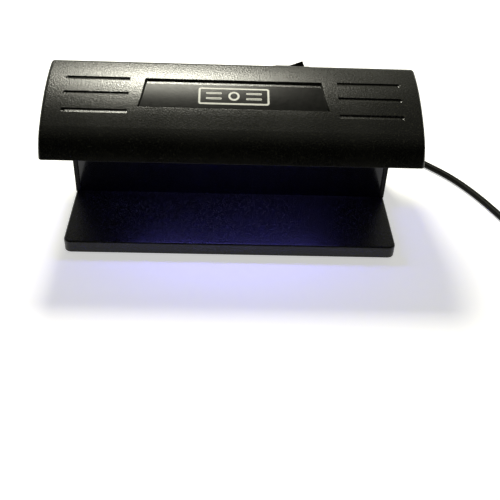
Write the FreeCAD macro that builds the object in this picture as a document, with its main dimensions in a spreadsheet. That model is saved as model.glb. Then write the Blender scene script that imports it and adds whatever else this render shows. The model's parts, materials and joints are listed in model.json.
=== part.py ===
"""Counterfeit bill detector: a hooded ultraviolet lamp over a flat checking deck, with a rear column.

Millimetres. Origin at the middle of the footprint on the table, +X to the user's right,
-Y towards the user, +Z up. Every driving dimension is a cell of the Dims sheet.
"""
import FreeCAD
import Part
import math
import os
from types import SimpleNamespace

import Sketcher
from FreeCAD import Placement, Rotation, Vector

DIMENSIONS = {
    # overall
    "hood_width": 191.6,
    "body_width": 178.6,
    "half_depth": 47.0,
    "wall": 2.4,
    "gap": 0.3,
    # hood side profile: a front arc, a flatter roof arc, a rounded ridge and a straight rear slope
    "lip_level": 59.5,
    "front_radius": 24.0,
    "lip_angle": 72.8,
    "shoulder_angle": 31.5,
    "roof_radius": 95.0,
    "ridge_angle": 4.1,
    "ridge_radius": 5.0,
    "rear_slope": 30.0,
    "hood_edge_radius": 2.0,
    # decoration of the roof
    "groove_inner_x": 53.1,
    "groove_outer_x": 85.9,
    "groove_first_angle": 12.5,
    "groove_step_angle": 6.65,
    "groove_depth": 0.65,
    "groove_upper_run": 0.5,
    "groove_lower_run": 1.9,
    "groove_end_radius": 1.6,
    "recess_front_y": -25.8,
    "recess_rear_y": -6.7,
    "recess_front_half": 48.6,
    "recess_rear_half": 45.45,
    "recess_depth": 1.1,
    "recess_side_slope": 0.75,
    # base, column and tray
    "foot_height": 2.0,
    "foot_radius": 6.0,
    "foot_x": 75.0,
    "foot_front_y": -36.0,
    "foot_rear_y": 32.0,
    "deck_level": 9.0,
    "deck_thickness": 2.0,
    "plate_thickness": 1.6,
    "column_rear_y": 43.5,
    "column_corner": 4.0,
    "panel_setback": 0.6,
    "panel_thickness": 2.0,
    "tray_level": 59.6,
    "tray_thickness": 1.6,
    "tray_front_y": -43.2,
    "tray_rear_y": 44.3,
    "window_half_x": 68.3,
    "window_half_y": 10.5,
    # lamp, a 4 W T5 tube between two G5 holders
    "lamp_y": -14.0,
    "lamp_z": 69.4,
    "lamp_radius": 8.0,
    "lamp_half": 68.0,
    "cap_length": 7.5,
    "glass_wall": 0.8,
    "lamp_pin_radius": 1.18,
    "lamp_pin_length": 6.8,
    "lamp_pin_offset": 2.375,
    "holder_thickness": 9.2,
    "holder_radius": 8.2,
    "holder_pocket_radius": 3.9,
    "holder_pocket_depth": 7.5,
    "reflector_radius": 9.5,
    "reflector_sheet": 0.5,
    "reflector_flange": 4.5,
    "reflector_half": 66.5,
    # rocker switch on the rear slope
    "switch_x": 31.5,
    "switch_along_slope": 24.0,
    "bezel_length": 21.0,
    "bezel_width": 15.0,
    "bezel_height": 1.6,
    "switch_length": 19.0,
    "switch_width": 12.6,
    "switch_depth": 12.0,
    "rocker_half_length": 8.3,
    "rocker_half_width": 5.4,
    "rocker_pivot_depth": 2.0,
    "rocker_tilt": 10.0,
    "contact_depth": 8.6,
    "contact_tilt": 7.0,
    # lamp driver board
    "board_left": -62.0,
    "board_right": 22.0,
    "board_front": 8.0,
    "board_rear": 36.0,
    "board_level": 14.0,
    "board_thickness": 1.6,
    "board_inset": 4.0,
    # screws
    "boss_radius": 3.5,
    "screw_radius": 1.3,
    "screw_hole_radius": 1.4,
    "clearance_hole_radius": 1.7,
    "screw_head_radius": 2.7,
    "screw_head_height": 1.5,
    # lead and plug
    "cord_radius": 2.0,
    "cord_exit_x": 40.0,
    "cord_exit_z": 20.0,
    "coil_x": 196.1,
    "coil_y": -38.0,
    "coil_inner": 14.1,
    "coil_outer": 28.0,
    "coil_bottom": 0.8,
    "coil_top": 17.2,
    "tie_width": 8.0,
    "tie_thickness": 0.8,
    "plug_x": 222.1,
    "plug_near_y": 8.0,
    "plug_length": 48.0,
    "plug_near_half": 25.0,
    "plug_far_half": 18.0,
    "plug_height": 24.0,
    "plug_entry_z": 12.0,
    "plug_boot_length": 14.0,
    "pin_pitch": 22.2,
    "pin_wide": 6.4,
    "pin_thick": 4.0,
    "pin_length": 17.7,
    "earth_pin_wide": 8.0,
    "earth_pin_length": 22.7,
}

BOSS_X = 80.0
BOSS_FRONT_Y = 8.0
BOSS_REAR_Y = 35.0
HOOD_BOSSES = ((-84.0, -35.0), (84.0, -35.0), (-84.0, -5.5), (84.0, -5.5))
COLUMN_BOSSES = [(sx * BOSS_X, y) for y in (BOSS_FRONT_Y, BOSS_REAR_Y) for sx in (-1, 1)]
PLATE_BOSSES = ((-82.0, -40.0), (82.0, -40.0), (-62.0, 38.0), (62.0, 38.0))

# The free lead from its boot to the coil, as hand-placed points.
CORD_ROUTE = [
    (40.0, 66.0, 20.0), (42.0, 80.0, 18.2), (52.0, 90.0, 13.0), (68.0, 91.5, 7.5),
    (84.0, 84.5, 3.6), (98.0, 74.0, 2.0), (111.0, 62.0, 2.0), (124.5, 48.8, 2.0),
    (138.5, 33.5, 2.0), (149.5, 15.0, 2.0), (158.0, -4.5, 2.0), (164.0, -21.0, 2.3),
    (166.0, -38.0, 2.8),
]
TAIL_ROUTE = [(222.1, -28.0, 14.8), (222.1, -17.0, 13.8), (222.1, -5.5, 12.0)]

doc = FreeCAD.newDocument("bill_detector")
nodes = {}


# ---------------------------------------------------------------- sizes as formulas

class Size:
    """A number together with the sheet formula that gives it."""

    def __init__(self, value, text):
        self.value = value
        self.text = text

    def __neg__(self):
        return Size(-self.value, f"(-{self.text})")

    def __add__(self, other):
        other = size(other)
        return Size(self.value + other.value, f"({self.text} + {other.text})")

    def __sub__(self, other):
        other = size(other)
        return Size(self.value - other.value, f"({self.text} - {other.text})")

    def __mul__(self, other):
        other = size(other)
        return Size(self.value * other.value, f"({self.text} * {other.text})")

    def __truediv__(self, other):
        other = size(other)
        return Size(self.value / other.value, f"({self.text} / {other.text})")

    def __radd__(self, other):
        return size(other) + self

    def __rsub__(self, other):
        return size(other) - self

    def __rmul__(self, other):
        return size(other) * self


def size(value):
    return value if isinstance(value, Size) else Size(float(value), f"({float(value):.6f})")


def sine(angle):
    angle = size(angle)
    return Size(math.sin(math.radians(angle.value)), f"sin({angle.text} * 1deg)")


def cosine(angle):
    angle = size(angle)
    return Size(math.cos(math.radians(angle.value)), f"cos({angle.text} * 1deg)")


def make_sheet():
    """The Dims sheet, and the same names as Size values."""
    sheet = doc.addObject("Spreadsheet::Sheet", "Dims")
    names = SimpleNamespace()
    for row, (name, value) in enumerate(DIMENSIONS.items(), start=1):
        sheet.set(f"A{row}", name)
        sheet.set(f"B{row}", str(value))
        sheet.setAlias(f"B{row}", name)
        setattr(names, name, Size(value, f"Dims.{name}"))
    doc.recompute()
    return names


d = make_sheet()


# ---------------------------------------------------------------- building blocks

def bind(thing, **sizes):
    for prop, value in sizes.items():
        value = size(value)
        setattr(thing, prop, value.value)
        thing.setExpression(prop, value.text)


def place(thing, x=0.0, y=0.0, z=0.0, rotation=None):
    x, y, z = size(x), size(y), size(z)
    thing.Placement = Placement(Vector(x.value, y.value, z.value), rotation or Rotation())
    for axis, value in zip("xyz", (x, y, z)):
        thing.setExpression(f"Placement.Base.{axis}", value.text)
    return thing


def block(name, x, y, z):
    """A box from its low and high corner along each axis."""
    box = doc.addObject("Part::Box", name)
    bind(box, Length=size(x[1]) - x[0], Width=size(y[1]) - y[0], Height=size(z[1]) - z[0])
    return place(box, x[0], y[0], z[0])


AXES = {
    "X": Rotation(Vector(0, 1, 0), 90),
    "Y": Rotation(Vector(1, 0, 0), -90),
    "Z": Rotation(),
}


def rod(name, radius, start, length, axis="Z"):
    """A cylinder that starts at a point and runs along +X, +Y or +Z."""
    cylinder = doc.addObject("Part::Cylinder", name)
    bind(cylinder, Radius=radius, Height=length)
    return place(cylinder, *start, rotation=AXES[axis])


def cone(name, radius_start, radius_end, start, length, axis="Z"):
    shape = doc.addObject("Part::Cone", name)
    bind(shape, Radius1=radius_start, Radius2=radius_end, Height=length)
    return place(shape, *start, rotation=AXES[axis])


def ball(name, radius, centre):
    sphere = doc.addObject("Part::Sphere", name)
    bind(sphere, Radius=radius)
    return place(sphere, *centre)


def join(name, *things):
    fused = doc.addObject("Part::MultiFuse", name)
    fused.Shapes = list(things)
    fused.Refine = True
    return fused


def remove(name, base, *tools):
    """The base less every tool."""
    cut = doc.addObject("Part::Cut", name)
    cut.Base = base
    cut.Tool = tools[0] if len(tools) == 1 else join(name + "_tools", *tools)
    cut.Refine = True
    return cut


def group(name, *things):
    compound = doc.addObject("Part::Compound", name)
    compound.Links = list(things)
    return compound


def node(label, thing):
    """Registers a sub-part under the name of its file."""
    thing.Label = label
    nodes[label] = thing
    return thing


def plane(body, role):
    return next(f for f in body.Origin.OriginFeatures if f.Role == role)


def arc_between(start, end, radius):
    """The arc of a positive radius that turns right from start to end, or left if it is negative."""
    middle = (start + end) * 0.5
    chord = end - start
    rise = math.sqrt(max(radius ** 2 - (chord.Length / 2) ** 2, 0.0))
    side = Vector(chord.y, -chord.x, 0).normalize()
    centre = middle + side * (rise if radius > 0 else -rise)
    first, last = (end, start) if radius > 0 else (start, end)
    angles = [math.atan2(p.y - centre.y, p.x - centre.x) for p in (first, last)]
    if angles[1] < angles[0]:
        angles[1] += 2 * math.pi
    return Part.ArcOfCircle(Part.Circle(centre, Vector(0, 0, 1), abs(radius)), *angles)


def pin_point(sketch, geometry, position, u, v):
    """Ties a point of a sketch to formulas, or to an axis where its formula is zero."""
    for kind, axis, value in (("DistanceX", -2, u), ("DistanceY", -1, v)):
        if abs(value.value) < 1e-9:
            sketch.addConstraint(Sketcher.Constraint("PointOnObject", geometry, position, axis))
            continue
        index = sketch.addConstraint(
            Sketcher.Constraint(kind, -1, 1, geometry, position, value.value)
        )
        sketch.setExpression(f"Constraints[{index}]", value.text)


def outline(body, name, role, corners):
    """A closed sketch. A corner is (u, v), or (u, v, radius) where an arc leads to the next one."""
    sketch = body.newObject("Sketcher::SketchObject", name)
    sketch.AttachmentSupport = (plane(body, role), [""])
    sketch.MapMode = "FlatFace"
    points = [Vector(size(c[0]).value, size(c[1]).value, 0) for c in corners]
    ends = []
    for i, corner in enumerate(corners):
        start, end = points[i], points[(i + 1) % len(points)]
        if len(corner) == 2:
            ends.append((sketch.addGeometry(Part.LineSegment(start, end)), 1, 2))
            continue
        radius = size(corner[2])
        sketch_arc = sketch.addGeometry(arc_between(start, end, radius.value))
        ends.append((sketch_arc, 2, 1) if radius.value > 0 else (sketch_arc, 1, 2))
    for i, (geometry, _, last) in enumerate(ends):
        following, first, _ = ends[(i + 1) % len(ends)]
        sketch.addConstraint(Sketcher.Constraint("Coincident", geometry, last, following, first))
    for (geometry, first, _), corner in zip(ends, corners):
        pin_point(sketch, geometry, first, size(corner[0]), size(corner[1]))
        if len(corner) == 3:
            radius = size(corner[2])
            index = sketch.addConstraint(Sketcher.Constraint("Radius", geometry, abs(radius.value)))
            sketch.setExpression(f"Constraints[{index}]", f"abs({radius.text})")
    return sketch


def new_body(name):
    return doc.addObject("PartDesign::Body", name)


def pad(body, sketch, length, middle=False):
    feature = body.newObject("PartDesign::Pad", sketch.Name + "_pad")
    feature.Profile = sketch
    bind(feature, Length=length)
    if middle:
        feature.SideType = "Symmetric"
    sketch.Visibility = False
    doc.recompute()
    return feature


def soften(body, base, radius, chosen):
    """Fillets the edges that the test picks out."""
    names = [f"Edge{i}" for i, e in enumerate(base.Shape.Edges, start=1) if chosen(e)]
    feature = body.newObject("PartDesign::Fillet", base.Name + "_fillet")
    feature.Base = (base, names)
    bind(feature, Radius=radius)
    doc.recompute()
    return feature


def turned(name, corners):
    """A body of revolution about Z, from corners given as (radius, height)."""
    body = new_body(name)
    sketch = outline(body, name + "_outline", "XZ_Plane", corners)
    feature = body.newObject("PartDesign::Revolution", name + "_revolution")
    feature.Profile = sketch
    feature.ReferenceAxis = (sketch, ["V_Axis"])
    feature.Angle = 360
    doc.recompute()
    return body


def vertical(edge):
    return abs(edge.BoundBox.ZLength) > 1e-3 and edge.BoundBox.XLength + edge.BoundBox.YLength < 1e-3


def level_at(edge, z):
    return abs(edge.BoundBox.ZMin - z) < 1e-3 and abs(edge.BoundBox.ZMax - z) < 1e-3


# ---------------------------------------------------------------- hood

def hood_points(inset):
    """The hood's side profile, moved inwards by an inset, as centres and corners in Y and Z."""
    front_y = d.front_radius * sine(d.lip_angle) - d.half_depth
    front_z = d.lip_level - d.front_radius * cosine(d.lip_angle)
    front, roof, ridge = d.front_radius - inset, d.roof_radius - inset, d.ridge_radius - inset
    roof_y = front_y + (d.roof_radius - d.front_radius) * sine(d.shoulder_angle)
    roof_z = front_z - (d.roof_radius - d.front_radius) * cosine(d.shoulder_angle)
    ridge_y = roof_y - (d.roof_radius - d.ridge_radius) * sine(d.ridge_angle)
    ridge_z = roof_z + (d.roof_radius - d.ridge_radius) * cosine(d.ridge_angle)
    shoulder = (
        front_y - front * sine(d.shoulder_angle),
        front_z + front * cosine(d.shoulder_angle),
    )
    ridge_start = (roof_y - roof * sine(d.ridge_angle), roof_z + roof * cosine(d.ridge_angle))
    ridge_end = (ridge_y + ridge * sine(d.rear_slope), ridge_z + ridge * cosine(d.rear_slope))
    rear_y = d.half_depth - inset
    fall = (rear_y - ridge_end[0]) * sine(d.rear_slope) / cosine(d.rear_slope)
    return SimpleNamespace(
        front_y=front_y, front_z=front_z, front=front,
        roof_y=roof_y, roof_z=roof_z, roof=roof, ridge=ridge,
        shoulder=shoulder, ridge_start=ridge_start, ridge_end=ridge_end,
        rear=(rear_y, ridge_end[1] - fall),
    )


def hood_form(name, inset, width):
    """A solid of the hood's profile; the inset one runs on below the lip, to cut the hood open."""
    p = hood_points(inset)
    bottom = d.lip_level - inset * 3
    if inset:
        start_angle = d.lip_angle + 7.0
        start = (p.front_y - p.front * sine(start_angle), p.front_z + p.front * cosine(start_angle))
        lower = [(start[0], bottom), (*start, p.front)]
    else:
        lower = [(-d.half_depth, d.lip_level, p.front)]
    body = new_body(name)
    sketch = outline(body, name + "_profile", "YZ_Plane", [
        *lower,
        (*p.shoulder, p.roof),
        (*p.ridge_start, p.ridge),
        p.ridge_end,
        p.rear,
        (p.rear[0], bottom),
    ])
    return body, pad(body, sketch, width, middle=True)


def on_roof(angle, height=0.0):
    """A point on the roof arc, or above it, at an angle from the arc's top."""
    p = hood_points(0.0)
    radius = p.roof + height
    return p.roof_y - radius * sine(angle), p.roof_z + radius * cosine(angle)


def groove_cutters():
    """Channels with a steep upper side, a long lower ramp and a round outer end."""
    above = size(0.8)
    widen = above / d.groove_depth
    deepest = (d.groove_upper_run - d.groove_lower_run) / 2
    rounded = d.groove_end_radius * 0.75
    lift = d.groove_end_radius - d.groove_depth
    cutters = []
    for i in range(3):
        angle = d.groove_first_angle + d.groove_step_angle * i
        y, z = on_roof(angle)
        ball_y, ball_z = on_roof(angle, lift)
        for side in (1, -1):
            name = f"groove_{'right' if side > 0 else 'left'}_{i}"
            end = (d.groove_outer_x - rounded) * side
            start = d.groove_inner_x * side
            ends = (start, end) if side > 0 else (end, start)
            wedge = doc.addObject("Part::Wedge", name)
            bind(
                wedge, Ymin=-d.groove_depth, Ymax=above,
                Xmin=ends[0], Xmax=ends[1], X2min=ends[0], X2max=ends[1],
                Zmin=deepest - 0.05, Zmax=deepest + 0.05,
                Z2min=deepest - 0.05 - d.groove_upper_run * (widen + 1),
                Z2max=deepest + 0.05 + d.groove_lower_run * (widen + 1),
            )
            place(wedge, 0.0, y, z, rotation=Rotation(Vector(1, 0, 0), 90 + angle.value))
            wedge.setExpression("Placement.Rotation.Angle", (angle + 90.0).text)
            tip = ball(name + "_end", d.groove_end_radius, (end, ball_y, ball_z))
            cutters.append(join(name + "_cutter", wedge, tip))
    return cutters


def recess_form():
    """A tapered block whose sides slope outwards as they rise; it meets the roof in the recess's outline."""
    slope = d.recess_side_slope
    rims = [hood_height_at(y) for y in (d.recess_front_y, d.recess_rear_y)]
    body = new_body("recess_form")
    sketches = []
    for name, level in (("low", d.lip_level + 16.0), ("high", d.lip_level + 31.0)):
        front_out = (level - rims[0]) * slope
        rear_out = (level - rims[1]) * slope
        front_y, rear_y = d.recess_front_y - front_out, d.recess_rear_y + rear_out
        front_x, rear_x = d.recess_front_half + front_out, d.recess_rear_half + rear_out
        sketch = outline(body, "recess_" + name, "XY_Plane", [
            (-front_x, front_y), (front_x, front_y), (rear_x, rear_y), (-rear_x, rear_y),
        ])
        sketch.setExpression("AttachmentOffset.Base.z", level.text)
        sketch.AttachmentOffset = Placement(Vector(0, 0, level.value), Rotation())
        sketches.append(sketch)
    doc.recompute()
    loft = body.newObject("PartDesign::AdditiveLoft", "recess_loft")
    loft.Profile = sketches[0]
    loft.Sections = [sketches[1]]
    loft.Ruled = True
    doc.recompute()
    return body


def hood_height_at(y):
    """The height of the roof arc above a given Y."""
    p = hood_points(0.0)
    away = y - p.roof_y
    rise = math.sqrt(p.roof.value ** 2 - away.value ** 2)
    return p.roof_z + Size(rise, f"sqrt(pow({p.roof.text}; 2) - pow({away.text}; 2))")


def switch_frame():
    """The centre of the switch on the rear slope, and the rotation of its own axes."""
    p = hood_points(0.0)
    y = p.ridge_end[0] + d.switch_along_slope * cosine(d.rear_slope)
    z = p.ridge_end[1] - d.switch_along_slope * sine(d.rear_slope)
    return (d.switch_x, y, z), Rotation(Vector(1, 0, 0), -d.rear_slope.value)


def put_on_slope(thing):
    """Moves a piece made round the switch's own origin to its place on the rear slope."""
    centre, rotation = switch_frame()
    return place(thing, *centre, rotation=rotation)


def switch_point(u, v, n):
    """A point given along the switch's own axes, in the detector's frame."""
    centre, _ = switch_frame()
    tilt = d.rear_slope
    return (
        centre[0] + u,
        centre[1] + size(v) * cosine(tilt) + size(n) * sine(tilt),
        centre[2] - size(v) * sine(tilt) + size(n) * cosine(tilt),
    )


def build_hood_cover():
    body, form = hood_form("hood_form", 0.0, d.hood_width)
    half = DIMENSIONS["hood_width"] / 2
    lip = DIMENSIONS["lip_level"]

    def end_edge(edge):
        box = edge.BoundBox
        at_end = box.XLength < 1e-3 and abs(abs(box.XMin) - half) < 1e-3
        return at_end and not level_at(edge, lip)

    soften(body, form, d.hood_edge_radius, end_edge)
    cavity, _ = hood_form("hood_cavity_form", d.wall, d.hood_width - d.wall * 2)
    bosses = [
        rod(f"hood_boss_{i}", d.boss_radius, (x, y, d.tray_level + d.tray_thickness), 40.0)
        for i, (x, y) in enumerate(HOOD_BOSSES)
    ]
    p = hood_points(0.0)
    floor = rod(
        "recess_floor", p.roof - d.recess_depth, (-d.hood_width, p.roof_y, p.roof_z),
        d.hood_width * 2, "X",
    )
    opening = block(
        "switch_opening_block", (-d.switch_length / 2 - 0.2, d.switch_length / 2 + 0.2),
        (-d.switch_width / 2 - 0.2, d.switch_width / 2 + 0.2), (-8.0, 4.0),
    )
    opening_in_place = put_on_slope(group("switch_opening", opening))
    holes = [
        rod(f"hood_screw_hole_{i}", d.screw_hole_radius, (x, y, d.lip_level), 9.0)
        for i, (x, y) in enumerate(HOOD_BOSSES)
    ]
    shell = remove("hood_shell", body, remove("hood_cavity", cavity, *bosses))
    node("hood_cover", remove(
        "hood_cover_cut", shell, remove("recess_cutter", recess_form(), floor), opening_in_place,
        *groove_cutters(), *holes,
    ))


# ---------------------------------------------------------------- tray and lamp

def build_hood_tray():
    """The plate that closes the hood from below, with the lamp window and the opening over the column."""
    half = d.hood_width / 2 - d.wall - d.gap
    low, high = d.tray_level, d.tray_level + d.tray_thickness
    body = new_body("tray_form")
    sketch = outline(body, "tray_outline", "XY_Plane", [
        (-half, d.tray_front_y), (half, d.tray_front_y), (half, d.tray_rear_y), (-half, d.tray_rear_y),
    ])
    sketch.setExpression("AttachmentOffset.Base.z", low.text)
    sketch.AttachmentOffset = Placement(Vector(0, 0, low.value), Rotation())
    doc.recompute()
    form = pad(body, sketch, d.tray_thickness)
    soften(body, form, 2.0, vertical)
    through = (low - 1, high + 1)
    window = block(
        "lamp_window", (-d.window_half_x, d.window_half_x),
        (d.lamp_y - d.window_half_y, d.lamp_y + d.window_half_y), through,
    )
    cable_way = block("cable_way", (-62.0, 62.0), (7.0, 39.5), through)
    holes = [
        rod(f"tray_hole_{i}", d.clearance_hole_radius, (x, y, low - 1), d.tray_thickness + 2)
        for i, (x, y) in enumerate([*HOOD_BOSSES, *COLUMN_BOSSES])
    ]
    slots = [
        block(f"holder_slot_{side}", sorted((side * 67.0, side * 76.1)),
              (d.lamp_y - 1.4, d.lamp_y + 1.4), through)
        for side in (-1, 1)
    ]
    node("hood_tray", remove("hood_tray_cut", body, window, cable_way, *holes, *slots))


def build_reflector():
    """A bent aluminium channel over the tube, with a flange along each foot."""
    foot = d.tray_level + d.tray_thickness
    inner, outer = d.reflector_radius, d.reflector_radius + d.reflector_sheet
    top_of_foot = foot + d.reflector_sheet
    far = outer + d.reflector_flange
    y = d.lamp_y
    body = new_body("reflector_form")
    sketch = outline(body, "reflector_profile", "YZ_Plane", [
        (y - far, foot),
        (y - inner, foot),
        (y - inner, d.lamp_z, inner),
        (y, d.lamp_z + inner, inner),
        (y + inner, d.lamp_z),
        (y + inner, foot),
        (y + far, foot),
        (y + far, top_of_foot),
        (y + outer, top_of_foot),
        (y + outer, d.lamp_z, -outer),
        (y, d.lamp_z + outer, -outer),
        (y - outer, d.lamp_z),
        (y - outer, top_of_foot),
        (y - far, top_of_foot),
    ])
    pad(body, sketch, d.reflector_half * 2, middle=True)
    node("lamp_reflector", body)


def build_uv_tube():
    glass_half = d.lamp_half - d.cap_length
    glass = rod(
        "tube_glass_outer", d.lamp_radius - 0.2, (-glass_half, d.lamp_y, d.lamp_z), glass_half * 2, "X"
    )
    bore = rod(
        "tube_glass_bore", d.lamp_radius - 0.2 - d.glass_wall,
        (-glass_half, d.lamp_y, d.lamp_z), glass_half * 2, "X",
    )
    node("uv_tube_glass", remove("uv_tube_glass_cut", glass, bore))
    for side, name in ((-1, "left"), (1, "right")):
        inner_x = -d.lamp_half if side < 0 else glass_half
        cap = rod(f"tube_cap_{name}", d.lamp_radius, (inner_x, d.lamp_y, d.lamp_z), d.cap_length, "X")
        rounded = doc.addObject("Part::Fillet", f"tube_cap_{name}_fillet")
        rounded.Base = cap
        doc.recompute()
        rims = [i for i, e in enumerate(cap.Shape.Edges, start=1)
                if abs(e.BoundBox.XMin - side * DIMENSIONS["lamp_half"]) < 1e-3
                and e.BoundBox.XLength < 1e-3]
        rounded.Edges = [(i, 1.2, 1.2) for i in rims]
        node(f"uv_tube_cap_{name}", rounded)
        pin_x = -d.lamp_half - d.lamp_pin_length if side < 0 else d.lamp_half
        pins = [
            rod(f"tube_pin_{name}_{i}", d.lamp_pin_radius,
                (pin_x, d.lamp_y + d.lamp_pin_offset * i, d.lamp_z), d.lamp_pin_length, "X")
            for i in (-1, 1)
        ]
        node(f"uv_tube_pins_{name}", group(f"tube_pins_{name}", *pins))


def build_lamp_holders():
    """A G5 holder at each end: a round-topped block with a turning pocket that opens downwards."""
    foot = d.tray_level + d.tray_thickness
    for side, name in ((-1, "left"), (1, "right")):
        inner = d.lamp_half + d.gap
        outer = inner + d.holder_thickness
        x = (-outer, -inner) if side < 0 else (inner, outer)
        lower = block(f"holder_{name}_lower", x, (d.lamp_y - d.holder_radius, d.lamp_y + d.holder_radius),
                      (foot, d.lamp_z))
        upper = rod(
            f"holder_{name}_upper", d.holder_radius, (x[0], d.lamp_y, d.lamp_z), d.holder_thickness, "X"
        )
        pocket_x = -inner - d.holder_pocket_depth if side < 0 else inner
        turning = rod(f"holder_{name}_pocket", d.holder_pocket_radius, (pocket_x, d.lamp_y, d.lamp_z),
                      d.holder_pocket_depth, "X")
        entry = block(f"holder_{name}_entry", (pocket_x, pocket_x + d.holder_pocket_depth),
                      (d.lamp_y - 1.4, d.lamp_y + 1.4), (foot - 1, d.lamp_z))
        node(f"lamp_holder_{name}", remove(
            f"holder_{name}_cut", join(f"holder_{name}_block", lower, upper), turning, entry
        ))
        tab_x = (-outer - 4.0, -outer) if side < 0 else (outer, outer + 4.0)
        tabs = [
            block(f"holder_tab_{name}_{i}", tab_x,
                  (d.lamp_y + 3.0 * i - 1.2, d.lamp_y + 3.0 * i + 1.2), (d.lamp_z - 0.3, d.lamp_z + 0.3))
            for i in (-1, 1)
        ]
        node(f"lamp_holder_tabs_{name}", group(f"holder_tabs_{name}", *tabs))


# ---------------------------------------------------------------- base and column

def build_base_shell():
    half = d.body_width / 2
    body = new_body("base_form")
    sketch = outline(body, "base_outline", "XY_Plane", [
        (-half, -d.half_depth), (half, -d.half_depth), (half, d.column_rear_y), (-half, d.column_rear_y),
    ])
    sketch.setExpression("AttachmentOffset.Base.z", d.foot_height.text)
    sketch.AttachmentOffset = Placement(Vector(0, 0, d.foot_height.value), Rotation())
    doc.recompute()
    form = pad(body, sketch, d.deck_level - d.foot_height)
    rounded = soften(body, form, d.column_corner, vertical)
    deck = DIMENSIONS["deck_level"]
    rear = DIMENSIONS["column_rear_y"]

    def rim(edge):
        box = edge.BoundBox
        return level_at(edge, deck) and box.YMax < 0.0 and box.YMin < rear

    soften(body, rounded, 1.0, lambda e: rim(e) and e.BoundBox.XLength > 100.0)
    hollow = block(
        "base_hollow", (-half + d.wall, half - d.wall),
        (-d.half_depth + d.wall, d.column_rear_y - d.wall),
        (0.0, d.deck_level - d.deck_thickness),
    )
    under_deck = d.deck_level - d.deck_thickness
    plate_top = d.foot_height + d.plate_thickness
    plate_bosses = [
        rod(f"plate_boss_{i}", d.boss_radius, (x, y, plate_top), under_deck - plate_top + 0.5)
        for i, (x, y) in enumerate(PLATE_BOSSES)
    ]
    standoffs = [
        rod(f"board_standoff_{i}", 2.8, (x, y, d.deck_level - 0.5), d.board_level - d.deck_level + 0.5)
        for i, (x, y) in enumerate(board_screw_places())
    ]
    plate_holes = [
        rod(f"plate_boss_hole_{i}", d.screw_hole_radius, (x, y, plate_top - 1), 5.5)
        for i, (x, y) in enumerate(PLATE_BOSSES)
    ]
    column_holes = [
        rod(f"column_way_{i}", d.clearance_hole_radius, (x, y, d.foot_height), d.deck_level)
        for i, (x, y) in enumerate(COLUMN_BOSSES)
    ]
    board_holes = [
        rod(f"board_way_{i}", d.screw_hole_radius, (x, y, d.board_level - 5.0), 6.0)
        for i, (x, y) in enumerate(board_screw_places())
    ]
    shell = remove("base_hollowed", body, hollow)
    node("base_shell", remove(
        "base_shell_cut", join("base_with_bosses", shell, *plate_bosses, *standoffs),
        *plate_holes, *column_holes, *board_holes,
    ))


def build_bottom_plate():
    half = d.body_width / 2 - d.wall - d.gap
    low = d.foot_height
    plate = block(
        "bottom_plate_form", (-half, half),
        (-d.half_depth + d.wall + d.gap, d.column_rear_y - d.wall - d.gap), (low, low + d.plate_thickness),
    )
    screw_holes = [
        rod(f"bottom_plate_hole_{i}", d.clearance_hole_radius, (x, y, low - 1), d.plate_thickness + 2)
        for i, (x, y) in enumerate(PLATE_BOSSES)
    ]
    sinks = [
        cone(f"bottom_plate_sink_{i}", d.screw_head_radius + 0.3, d.clearance_hole_radius, (x, y, low), 1.2)
        for i, (x, y) in enumerate(PLATE_BOSSES)
    ]
    foot_holes = [
        rod(f"foot_hole_{i}", 2.5, (x, y, low - 1), d.plate_thickness + 2)
        for i, (x, y, _) in enumerate(foot_places())
    ]
    node("bottom_plate", remove("bottom_plate_cut", plate, *screw_holes, *sinks, *foot_holes))


def foot_places():
    return [
        (sx * d.foot_x, y, f"foot_{depth}_{side}")
        for depth, y in (("front", d.foot_front_y), ("rear", d.foot_rear_y))
        for side, sx in (("left", -1), ("right", 1))
    ]


def build_feet():
    """Push-in rubber feet: a pad below the plate, a stem through it and a head that holds."""
    plate_top = d.foot_height + d.plate_thickness
    for x, y, name in foot_places():
        body = turned(name + "_form", [
            (0.0, 0.0), (d.foot_radius - 0.8, 0.0, -0.8), (d.foot_radius, 0.8),
            (d.foot_radius - 0.3, d.foot_height), (2.4, d.foot_height), (2.4, plate_top),
            (3.3, plate_top), (2.0, plate_top + 1.6), (0.0, plate_top + 1.6),
        ])
        node(name, place(body, x, y, 0.0))


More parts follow.
